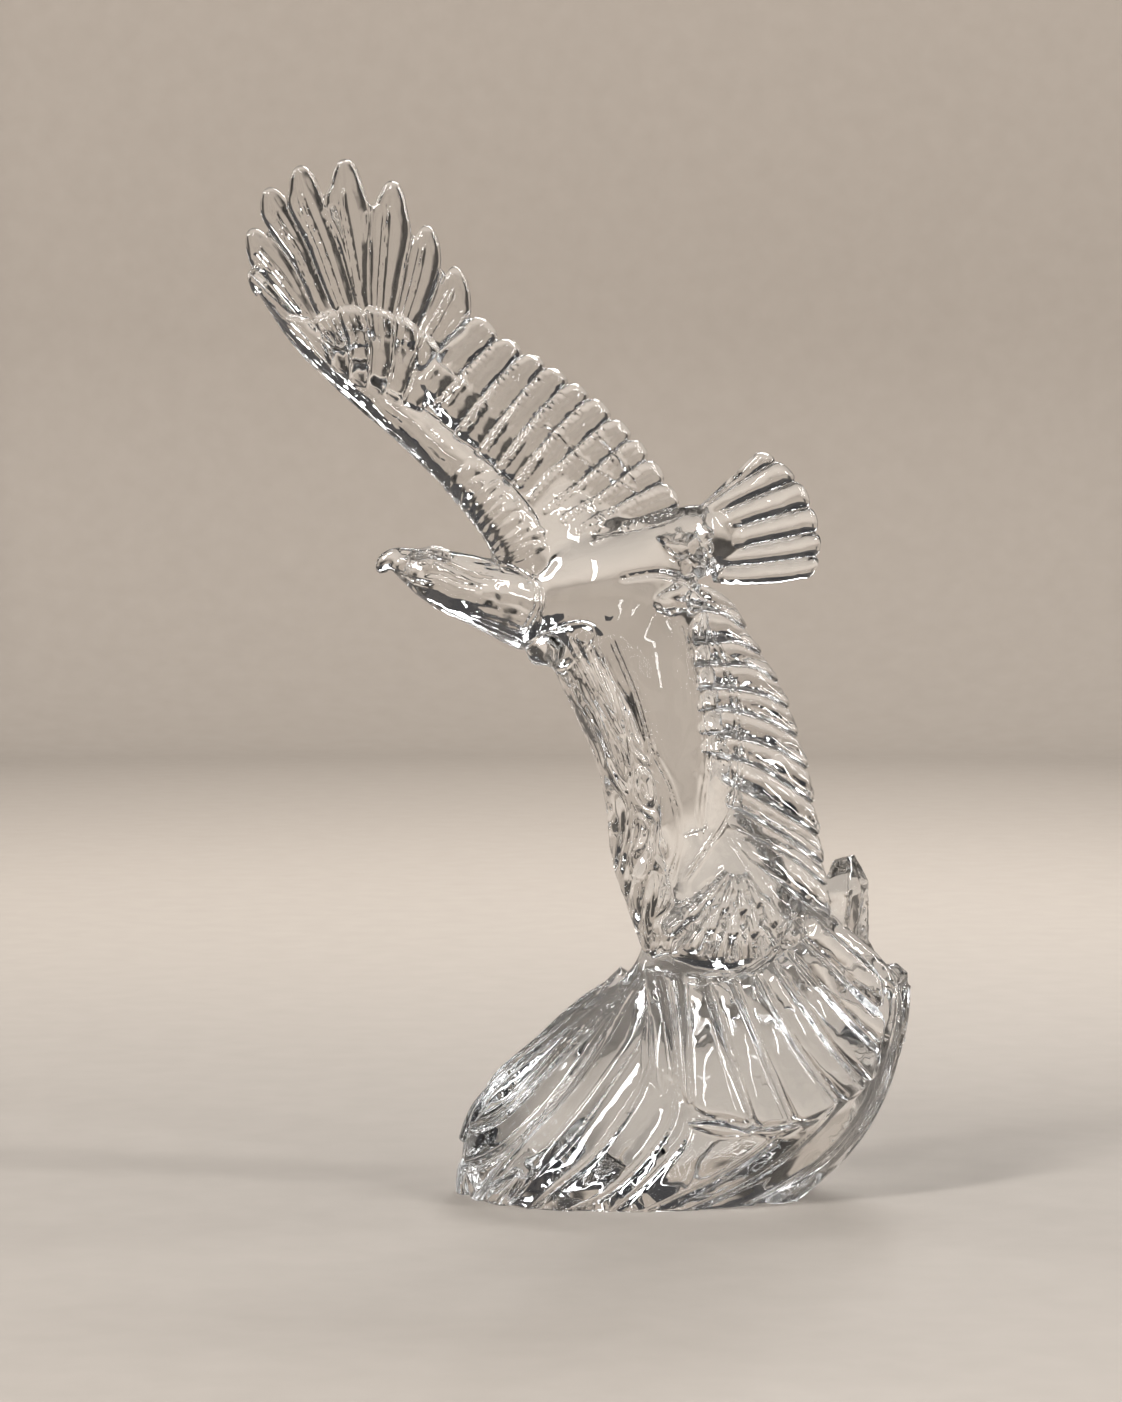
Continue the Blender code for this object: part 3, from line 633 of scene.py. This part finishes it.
class Cast:
    """The fused surface as arrays: its places and directions, in units, and its edges."""

    def __init__(self, mesh):
        self.mesh = mesh
        places = np.zeros(len(mesh.vertices) * 3, np.float32)
        mesh.vertices.foreach_get("co", places)
        self.points = places.reshape(-1, 3).astype(float) / UNIT
        ends = np.zeros(len(mesh.edges) * 2, np.int32)
        mesh.edges.foreach_get("vertices", ends)
        self.one, self.other = ends.reshape(-1, 2).T
        self.degree = np.bincount(ends, minlength=len(self.points))
        self.read_normals()

    def read_normals(self):
        """Writes the places to the mesh, and reads its directions there."""
        self.mesh.vertices.foreach_set("co", (self.points * UNIT).astype(np.float32).ravel())
        self.mesh.update()
        normals = np.zeros(len(self.points) * 3, np.float32)
        self.mesh.vertex_normals.foreach_get("vector", normals)
        self.normals = normals.reshape(-1, 3).astype(float)

    def level_underside(self):
        """Sets the underside on the floor."""
        under = (self.points[:, 2] < 0.5) & (self.normals[:, 2] < -0.8)
        self.points[under, 2] = 0
        self.points[:, 2] = np.maximum(self.points[:, 2], 0)

    def smooth(self, passes):
        """Evens out the surface without shrinking it."""
        for _ in range(passes):
            for step in (0.6, -0.62):
                mean = neighbour_mean(self.points, self.one, self.other, self.degree)
                self.points += step * (mean - self.points)

    def soften(self, weight, passes):
        """Rounds off the surface, by as much as weight allows at each point."""
        near = np.flatnonzero((weight[self.one] > 0.01) | (weight[self.other] > 0.01))
        chosen = np.unique(np.concatenate((self.one[near], self.other[near])))
        place = np.full(len(self.points), -1)
        place[chosen] = np.arange(len(chosen))
        one, other = place[self.one[near]], place[self.other[near]]
        degree = np.bincount(np.concatenate((one, other)))
        points, share = self.points[chosen], weight[chosen][:, None]
        for _ in range(passes):
            points = points + 0.7 * share * (neighbour_mean(points, one, other, degree) - points)
        self.points[chosen] = points

    def blob(self, middle, sizes, sharp=0.35):
        """A mask that is 1 inside an ellipsoid, and falls to 0 at its surface."""
        far = np.linalg.norm((self.points - middle) / np.array(sizes, float), axis=1)
        return 1 - smoothstep(1 - sharp, 1, far)

    def blobs(self, places, sharp=0.35):
        """A mask that is 1 inside any of several ellipsoids."""
        return np.maximum.reduce([self.blob(middle, sizes, sharp) for middle, sizes in places])

    def move(self, lift):
        self.points += self.normals * lift[:, None]

    def stroke(self, path, width, height, side=-1, double=False, beads=0.0):
        """A line on the front (side -1) or the back (side 1), through (x, z) places, raised for a
        height over 0 and cut in for one below. A double line has a furrow along its middle."""
        path = along(path, np.linspace(0, 1, 40))
        length = np.concatenate(((0,), np.cumsum(distances(path))))
        spacing, reach, steep = 0.4, 3 * width, 0.12
        t = np.linspace(0, length[-1], max(int(length[-1] / spacing), 8))
        path = np.stack([np.interp(t, length, path[:, k]) for k in (0, 1)], axis=-1)
        flat = self.points[:, (0, 2)]
        inside = (flat > path.min(axis=0) - reach) & (flat < path.max(axis=0) + reach)
        near = np.flatnonzero(inside.all(axis=1) & (self.normals[:, 1] * side > steep))
        if not len(near):
            return
        squared = ((flat[near][:, None] - path[None]) ** 2).sum(axis=-1)
        nearest = squared.argmin(axis=1)
        far = np.sqrt(squared[np.arange(len(near)), nearest]) / width
        ends = np.minimum(t[nearest], length[-1] - t[nearest])
        strength = smoothstep(0, min(4 * width, length[-1] / 3), ends)
        strength = strength * (1 + beads * np.cos(2 * pi * t[nearest] / (2.6 * width)))
        profile = np.exp(-far ** 2)
        if double:
            profile = profile - 1.5 * np.exp(-(far / 0.42) ** 2)
        facing = smoothstep(steep, 0.4, self.normals[near, 1] * side)
        lift = height * strength * profile * facing
        self.points[near] += self.normals[near] * lift[:, None]

    def iron(self, weight, side):
        """Evens out the front (side -1) or the back (side 1), by weight at each point, towards the
        mean depth around it on a grid of cells one unit wide."""
        reach, steep = 5, 0.25
        outward, flat = self.normals[:, 1] * side, self.points[:, (0, 2)]
        facing = np.flatnonzero((outward > steep) & (weight > 0))
        low = flat[facing].min(axis=0) - 3 * reach
        size = (np.ptp(flat[facing], axis=0) + 6 * reach + 2).astype(int)
        around = np.flatnonzero((outward > steep) & (flat - low > 0).all(axis=1)
                                & (flat - low < size - 1).all(axis=1))
        place = (flat[around] - low).astype(int)
        index = place[:, 0] * size[1] + place[:, 1]
        count = np.bincount(index, minlength=size.prod()).reshape(size).astype(float)
        total = np.bincount(index, self.points[around, 1], size.prod()).reshape(size)
        kernel = np.exp(-np.linspace(-3, 3, 6 * reach + 1) ** 2 / 2)
        mean, known = np.where(count > 0, total / np.maximum(count, 1), 0), (count > 0).astype(float)
        for axis in (0, 1):
            mean, known = (np.apply_along_axis(np.convolve, axis, grid, kernel, "same")
                           for grid in (mean, known))
        level = mean / np.maximum(known, 1e-6)
        at = flat[facing] - low - 0.5
        first = at.astype(int)
        f = at - first
        depth = sum(level[first[:, 0] + i, first[:, 1] + j]
                    * (f[:, 0] if i else 1 - f[:, 0]) * (f[:, 1] if j else 1 - f[:, 1])
                    for i in (0, 1) for j in (0, 1))
        share = weight[facing] * smoothstep(steep, 0.5, outward[facing])
        self.points[facing, 1] += share * (depth - self.points[facing, 1])

    def fit(self, low, high):
        """Brings the outermost places inside a box, by a slight squeeze."""
        least, most = self.points.min(axis=0), self.points.max(axis=0)
        centre, ratio = (least + most) / 2, np.minimum((high - low) / (most - least), 1)
        half = ratio * (most - least) / 2
        self.points = np.clip(centre, low + half, high - half) + (self.points - centre) * ratio

    def waviness(self, scale, seed, squeeze=(1, 1, 1)):
        """A smooth wandering height between about -1 and 1, with waves of about scale units."""
        x, y, z = (self.points * (2 * pi / scale) * np.array(squeeze, float)).T
        a = x + 1.7 * np.sin(0.43 * z + 0.31 * y + seed) + 0.9 * np.sin(0.9 * y - 0.5 * x + 2 * seed)
        b = z + 1.7 * np.sin(0.39 * x - 0.27 * y + 1.7 * seed) + 0.9 * np.sin(0.8 * x + 0.6 * z + seed)
        c = y + 1.2 * np.sin(0.5 * x + 0.4 * z + 0.7 * seed)
        return (np.sin(a) * np.cos(b + 0.5 * seed)
                + 0.6 * np.sin(0.7 * b + 0.8 * c + seed) * np.cos(0.6 * a)) / 1.3


# Lines on the back of the secondaries.
SECONDARY_LINES = [
    [(-12.5, 239), (-7.5, 236), (-2, 230), (5, 224.5), (13.5, 220), (19, 216.5)],
    [(4.5, 236), (10, 230), (14, 224.5), (17.5, 220)]]


# Lines in front: the width, the height, whether it is double, and the (x, z) places.
LINES = [
    # The body's upper edge, and the crease between the body and the lowered wing.
    (1.0, -1.6, False, [(2, 205), (16, 207), (26, 210), (33, 213)]),
    (1.0, -2.0, False, [(11, 191), (17, 192.2), (23.5, 193), (29, 192), (35.5, 189), (40, 184)]),
    # The hood's edge.
    (0.9, 1.0, True, [(-26, 196.5), (-20.5, 194.6), (-16, 192), (-13, 187.4), (-13, 182.5),
     (-15.6, 177.5), (-18, 173.5)]),
    # The ridges down the lowered wing.
    (0.9, 1.3, True, [(31, 178), (33.5, 169.5), (35.5, 161.5), (37, 153), (38, 145), (38.5, 138),
     (38.5, 131.5), (37.5, 125), (37, 118), (38, 110)]),
    (0.9, 1.3, True, [(40, 176.5), (41.5, 171.5), (44.5, 165), (46.5, 158), (48, 151.5), (48.5, 143.5),
     (49, 138), (48, 128), (46, 120.5), (43, 114), (37.5, 106), (32, 97)]),
    (0.9, 1.2, True, [(9.5, 173.5), (16.5, 157), (19.5, 147.5), (22, 138), (27, 128), (30, 118),
     (30, 108), (27.5, 99.5), (25, 88.5)]),
    (0.8, -0.7, False, [(46, 114.5), (47.5, 109.5), (51, 104.5), (53, 100.5), (55, 94.5), (55, 88),
     (53.5, 82.5)]),
    (0.8, 0.6, True, [(19, 112.5), (15.5, 106), (17, 98.5), (20, 100.5), (21, 106), (22, 110.5)]),
    # The rounded rim of the hand, over the fan, and the shoulder of the lowered wing.
    (1.3, 1.5, True, [(31, 68.5), (36.5, 67), (42, 67.5), (47.5, 69), (52.5, 71.5), (57.5, 75.5),
     (61.5, 81), (64.5, 86.5), (67, 93)]),
    (0.9, 0.7, True, [(-18.5, 171), (-8, 176), (-0.5, 178), (4, 176.5), (4, 172.5), (-1, 167.5),
     (-5, 163.5), (-10.5, 163.5)])]
# The face, on both sides: the gape, the brow, the cheek, the jaw and the eye.
FACE = [
    (0.6, -0.9, [(-60.5, 193.6), (-54, 192), (-51, 190.4), (-44.5, 189.5)]),
    (0.7, -1.0, [(-57, 198.6), (-50.5, 198.6), (-44, 196.8), (-36.5, 193.5), (-31.5, 191.5),
     (-25, 191)]),
    (0.6, -0.7, [(-52.5, 197.2), (-54.5, 194.5), (-53, 192.5)]),
    (0.7, -0.8, [(-49, 192.6), (-43, 192.2), (-37, 189.6), (-29, 188.4)]),
    (0.9, 1.0, [(-49.2, 195.3), (-47.6, 195.9), (-46, 195.2)])]


def engrave(cast):
    """The lines drawn into the cast."""
    # The furrows between the flutes, and between the primaries spread over them.
    for name, edge in FRONT_EDGES.items():
        if name not in ("c2", "d"):
            cast.stroke(edge, 0.65, -0.8)
    for edge in FAN_EDGES[1:-1]:
        cast.stroke(edge, 0.7, -0.9)
    # The trough between the third and the fourth flute.
    cast.stroke([(19.8, 63), (15.5, 53), (8.5, 43), (-0.5, 31), (-9, 21), (-17, 11)], 3.6, -3.0)
    for edge in SECONDARY_EDGES[1:]:
        cast.stroke(edge, 0.75, 0.45, -1, beads=0.6)
        cast.stroke(np.array(edge) + (0.8, -0.8), 0.75, 0.45, 1, beads=0.6)
    for line in SECONDARY_LINES:
        cast.stroke(line, 0.5, 0.5, 1)
    for one, other, tip in list(zip(PRIMARY_EDGES, PRIMARY_EDGES[1:], PRIMARY_TIPS))[1:]:
        shaft = 0.6 * np.array(one) + 0.4 * np.array(other)
        end = shaft[-1] + 0.45 * (np.array((tip[0], tip[2])) - shaft[-1])
        cast.stroke([*shaft, end], 0.8, 0.8, double=True)
    for width, height, double, places in LINES:
        cast.stroke(places, width, height, double=double)
    for row in PETALS:
        for k in range(row[0] + 1):
            cast.stroke(petal_edge(row, k, row[2]), 0.8, -1.1)
        for k in range(row[0]):
            cast.stroke(petal_edge(row, k + 0.4, row[2]), 0.7, 0.7, double=True)
    for side in (-1, 1):
        for width, height, places in FACE:
            cast.stroke(places, width, height, side)


# Ellipsoids, as (middle, half sizes): where the body flows into both wings, where it is evened out,
# what stays free of fine ripple, and the raised wing's primaries.
JOINS = [((7, 0, 196), (20, 40, 18)), ((20, 0, 181), (18, 40, 17)), ((-6, 0, 170), (15, 40, 11))]
EVEN = [
    ((14, 0, 194), (25, 60, 16)), ((19, 0, 172), (15, 60, 24)), ((26, 0, 150), (11, 60, 34)),
    ((3, 0, 178), (13, 60, 17))]
CLEAR = [((8, 0, 192), (26, 40, 16)), ((26, 0, 155), (11, 60, 40)), ((30, 0, 112), (11, 60, 24))]
PRIMARIES = (-78, 4, 290), (44, 30, 34)
# The middle of the looping ripples down the lowered wing's leading edge: heights, and the x there.
LOOPS = (76, 89, 104, 119, 133, 146, 159, 172), (28, 23.5, 19, 17, 14.5, 10, 4, -3)


def finish_surface(cast):
    """The looping ripples, and the faint unevenness of cast crystal."""
    x, _, z = cast.points.T
    low = 1 - smoothstep(40, 75, z)
    feathers = (1 - cast.blobs(CLEAR)) * (1 - 0.75 * low) * (1 - 0.65 * cast.blob(*PRIMARIES))
    strip = (1 - smoothstep(6, 10, np.abs(x - np.interp(z, *LOOPS)))) * smoothstep(72, 80, z)
    strip = strip * (1 - smoothstep(168, 176, z))
    loops = cast.waviness(26, 3.3, (1.3, 0.3, 0.6))
    cast.move(strip * (0.45 * np.cos(7.5 * loops) + 0.6 * loops))
    cast.move(0.13 * cast.waviness(9, 0.4) * feathers + 0.03 * cast.waviness(4.5, 2.1) * feathers
              + 0.12 * cast.waviness(24, 1.1) * (1 - feathers))


def thin_out(made, ratio):
    """Thins the mesh, and keeps the full mesh's directions for its shading."""
    for face in made.data.polygons:
        face.use_smooth = True
    full = new_object("full", made.data.copy())
    thin = made.modifiers.new("thin", "DECIMATE")
    thin.ratio = ratio
    keep = made.modifiers.new("keep", "DATA_TRANSFER")
    keep.object = full
    keep.use_loop_data = True
    keep.data_types_loops = {"CUSTOM_NORMAL"}
    keep.loop_mapping = "POLYINTERP_NEAREST"
    apply_modifiers(made)
    mesh = full.data
    bpy.data.objects.remove(full)
    bpy.data.meshes.remove(mesh)


def drop_islands(mesh):
    """Keeps the largest connected surface, and drops the specks of voids closed in between shells."""
    shape = bmesh.new()
    shape.from_mesh(mesh)
    reached, islands = set(), []
    for start in shape.verts:
        if start in reached:
            continue
        island = [start]
        reached.add(start)
        for vertex in island:
            for edge in vertex.link_edges:
                other = edge.other_vert(vertex)
                if other not in reached:
                    reached.add(other)
                    island.append(other)
        islands.append(island)
    islands.sort(key=len)
    specks = [vertex for island in islands[:-1] for vertex in island]
    bmesh.ops.delete(shape, geom=specks, context="VERTS")
    shape.to_mesh(mesh)
    shape.free()


def main():
    for make in (rock, flutes, shards, fan, body, head, tail, legs, raised_wing, lowered_wing):
        make()
    eagle = shells_object("eagle_cast")
    fuse(eagle)
    cast = Cast(eagle.data)
    cast.smooth(3)
    cast.soften(cast.blobs(JOINS), 60)
    cast.read_normals()
    even = cast.blobs(EVEN, 0.4)
    cast.iron(even, -1)
    # The feet stay as they are.
    for _, foot in LEGS:
        even = even * (1 - cast.blob(np.array(foot) + (0, 2, 0), (10, 12, 6), 0.3))
    cast.iron(even, 1)
    cast.read_normals()
    engrave(cast)
    finish_surface(cast)
    cast.smooth(1)
    cast.level_underside()
    cast.fit(np.array(LOW) / UNIT + MARGIN, np.array(HIGH) / UNIT - MARGIN)
    cast.read_normals()
    thin_out(eagle, TRIANGLES / (2 * len(cast.points)))
    drop_islands(eagle.data)
    eagle.data.materials.append(crystal())
    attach(eagle, "root")
    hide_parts(NODE)


# ---- Materials ----

CRYSTAL_TINT = (0.985, 0.99, 0.99, 1)
CRYSTAL_IOR = 1.62
PAPER_DARK, PAPER_LIGHT = (0.27, 0.24, 0.21, 1), (0.30, 0.268, 0.236, 1)
WALL_BANDS = 8.0
PAINTED_LIGHT_POOL = 1.48                   # painted pool of light: how much paler the floor's colour is painted around the figurine


def new_material(name, values):
    """A material with those values on its shader's sockets, and its node tree."""
    material = bpy.data.materials.new(name)
    material.use_nodes = True
    for socket, value in values.items():
        material.node_tree.nodes["Principled BSDF"].inputs[socket].default_value = value
    return material, material.node_tree


def add_node(tree, kind, inputs, **settings):
    """The outputs of a new node, whose inputs are plain values or other nodes' outputs."""
    node = tree.nodes.new("ShaderNode" + kind)
    for name, value in settings.items():
        setattr(node, name, value)
    for socket, value in inputs.items():
        if isinstance(value, bpy.types.NodeSocket):
            tree.links.new(value, node.inputs[socket])
        else:
            node.inputs[socket].default_value = value
    return node.outputs


def ripple_bump(tree, scale, strength, distance):
    """Adds a fine unevenness to a material's finish, and returns its noise."""
    place = add_node(tree, "TexCoord", {})["Object"]
    noise = add_node(tree, "TexNoise", {"Vector": place, "Scale": scale, "Detail": 2})["Fac"]
    bump = add_node(tree, "Bump", {"Strength": strength, "Distance": distance, "Height": noise})
    tree.links.new(bump["Normal"], tree.nodes["Principled BSDF"].inputs["Normal"])
    return noise


def crystal():
    """Clear lead crystal, with the slight ripple of a cast and hand-polished face."""
    material, tree = new_material("clear_crystal", {"Base Color": CRYSTAL_TINT, "Roughness": 0.0,
                                                    "IOR": CRYSTAL_IOR, "Transmission Weight": 1})
    ripple_bump(tree, 70, 0.5, 0.0001)
    return material


def paper():
    """Warm grey backdrop paper, with a faint mottle and a fine tooth. The wall is dark in soft
    bands, which give the crystal its dark edges, and the floor has a painted pool of light: its colour
    is paler around the figurine."""
    material, tree = new_material("stage_paper", {"Roughness": 0.7, "Specular IOR Level": 0.2})

    def math(operation, *values):
        return add_node(tree, "Math", dict(enumerate(values)), operation=operation)["Value"]

    def remap(value, start, end, low, high):
        inputs = {"Value": value, "From Min": start, "From Max": end, "To Min": low, "To Max": high}
        return add_node(tree, "MapRange", inputs, interpolation_type="SMOOTHSTEP")["Result"]

    ramp = tree.nodes.new("ShaderNodeValToRGB")
    for element, colour in zip(ramp.color_ramp.elements, (PAPER_DARK, PAPER_LIGHT)):
        element.color = colour
    tree.links.new(ripple_bump(tree, 60, 0.2, 0.0006), ramp.inputs["Fac"])
    place = add_node(tree, "TexCoord", {})["Object"]
    x, y, z = add_node(tree, "SeparateXYZ", {"Vector": place})
    wave = math("COSINE", math("MULTIPLY", math("ARCTAN2", y, x), WALL_BANDS))
    far = add_node(tree, "VectorMath", {"Vector": place}, operation="LENGTH")["Value"]
    band = math("MULTIPLY", remap(wave, -0.1, -0.8, 0, 0.95), remap(z, 0.02, 0.16, 0, 1))
    # Painted pool of light: the floor's colour is painted paler near the figurine, and fades to the
    # plain paper 1.5 m out.
    painted_pool_and_bands = math("MULTIPLY", remap(far, 0.2, 1.5, PAINTED_LIGHT_POOL, 1.0), math("SUBTRACT", 1.0, band))
    scaled = add_node(tree, "VectorMath", {"Vector": ramp.outputs["Color"], "Scale": painted_pool_and_bands},
                      operation="SCALE")["Vector"]
    tree.links.new(scaled, tree.nodes["Principled BSDF"].inputs["Base Color"])
    return material


# ---- The studio ----

def cyclorama():
    """A round floor that curves up into a low wall all round the figurine."""
    reach, radius, height = 1.9, 0.35, 0.71
    profile = [(r, 0.0) for r in (0.2, 0.5, 0.9, 1.4)]
    profile += [(reach + radius * sin(a), radius * (1 - cos(a))) for a in np.linspace(0, pi / 2, 24)]
    profile += [(reach + radius, height)]
    count = 96
    points = np.array([(r * cos(2 * pi * k / count), r * sin(2 * pi * k / count), LOW.z + z)
                       for r, z in profile for k in range(count)] + [(0, 0, LOW.z)])
    faces = between_rings(np.arange(len(points) - 1).reshape(-1, count))
    faces += [(len(points) - 1, (k + 1) % count, k) for k in range(count)]
    made = mesh_object("stage_cyclorama", points, faces)
    for face in made.data.polygons:
        face.use_smooth = True
    made.data.materials.append(paper())


def softbox(name, place, target, width, height, power, colour=(1, 1, 1)):
    light = bpy.data.lights.new(name, "AREA")
    light.shape, light.size, light.size_y = "RECTANGLE", width, height
    light.energy, light.color = power, colour
    lamp = new_object(name, light)
    lamp.location = place
    lamp.rotation_euler = (Vector(target) - Vector(place)).to_track_quat("-Z", "Y").to_euler()


def studio():
    cyclorama()
    middle = (0, 0, 0.16)
    softbox("key", (-1.0, -0.9, 1.25), middle, 0.25, 1.0, 22)
    softbox("side", (1.25, -0.35, 1.0), middle, 0.12, 0.9, 9)
    softbox("back", (0.35, 1.2, 1.35), middle, 1.0, 0.2, 12)
    for k in range(6):
        angle = pi * (k + 0.35) / 3
        softbox("strip_%d" % k, (1.85 * cos(angle), 1.85 * sin(angle), 1.15), middle, 0.09, 0.8, 5)
    for k in range(4):
        angle = pi * (0.25 + 0.5 * k)
        ahead = np.array((cos(angle), sin(angle), 0))
        softbox("wall_%d" % k, ahead * 0.8 + (0, 0, 1.3), ahead * 2.25 + (0, 0, 0.5), 1.4, 0.3, 32,
                (1, 0.95, 0.9))
    world = bpy.data.worlds.new("studio")
    world.use_nodes = True
    world.node_tree.nodes["Background"].inputs["Color"].default_value = (0.035, 0.036, 0.04, 1)
    bpy.context.scene.world = world


# Where the camera stands, in heights of the figurine: a little above the bird's chest.
CAMERA_PLACE = (-0.019, -3.8545, 0.70057)
CAMERA_PITCH = 3.3            # degrees down
FOCAL_LENGTH = 102.33         # mm, on a frame 36 mm high


def camera():
    lens = bpy.data.cameras.new("camera")
    lens.sensor_fit = "VERTICAL"
    lens.sensor_height = 36
    lens.lens = FOCAL_LENGTH
    lens.clip_start, lens.clip_end = 0.05, 20
    stand = new_object("camera", lens)
    stand.location = np.array(CAMERA_PLACE) * (HIGH.z - LOW.z) + (0, 0, LOW.z)
    stand.rotation_euler = (radians(90 - CAMERA_PITCH), 0, 0)
    bpy.context.scene.camera = stand


main()
studio()
camera()
scene = bpy.context.scene
scene.cycles.use_denoising = True
scene.cycles.max_bounces = 24
scene.cycles.transmission_bounces = 20
scene.cycles.transparent_max_bounces = 16
scene.view_settings.view_transform = "Standard"
